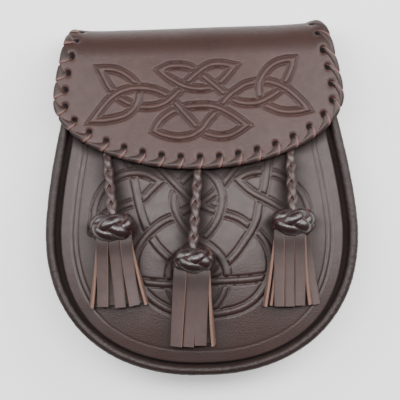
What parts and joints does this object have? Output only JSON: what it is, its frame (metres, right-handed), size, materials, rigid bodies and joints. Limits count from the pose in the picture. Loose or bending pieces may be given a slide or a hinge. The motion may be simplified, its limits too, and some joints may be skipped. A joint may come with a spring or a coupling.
{
  "type": "sporran pouch",
  "caption": "Rounded leather pouch with rolled edges, a laced flap folded over its mouth, knotwork tooled in front, plaited tassels, and strap loops behind.",
  "frame": {"origin": "on the surface that the pouch lies on, under the middle of its overall box", "axes": "+Z out of the pouch's front, +Y up as it is worn, towards the fold of the flap, +X to the right as seen from the front"},
  "size_m": [0.1798, 0.2035, 0.0658],
  "materials": {
    "panel_leather": "brown tooled leather, waxed to a soft sheen",
    "flap_leather": "brown tooled leather, fine grained, satin, redder at the fold",
    "rolled_leather": "dark brown rolled leather, wrinkled and glossy",
    "lace_leather": "narrow cut lace, satin face with pinkish raw edges",
    "knot_leather": "dark brown woven knot, glossy",
    "fringe_leather": "soft cut strips, satin face with tan raw edges",
    "stud_steel": "plain snap stud"
  },
  "bodies": {
    "root": {"back_panel": "panel_leather", "gusset": "panel_leather", "front_panel": "panel_leather", "front_welt": "rolled_leather", "back_welt": "rolled_leather", "flap": "flap_leather", "flap_lace": "lace_leather", "braid_left": "lace_leather", "braid_middle": "lace_leather", "braid_right": "lace_leather", "knot_left": "knot_leather", "knot_middle": "knot_leather", "knot_right": "knot_leather", "fringe_left": "fringe_leather", "fringe_middle": "fringe_leather", "fringe_right": "fringe_leather", "strap_loop_left": "panel_leather", "strap_loop_right": "panel_leather", "press_stud": "stud_steel"}
  },
  "joints": []
}
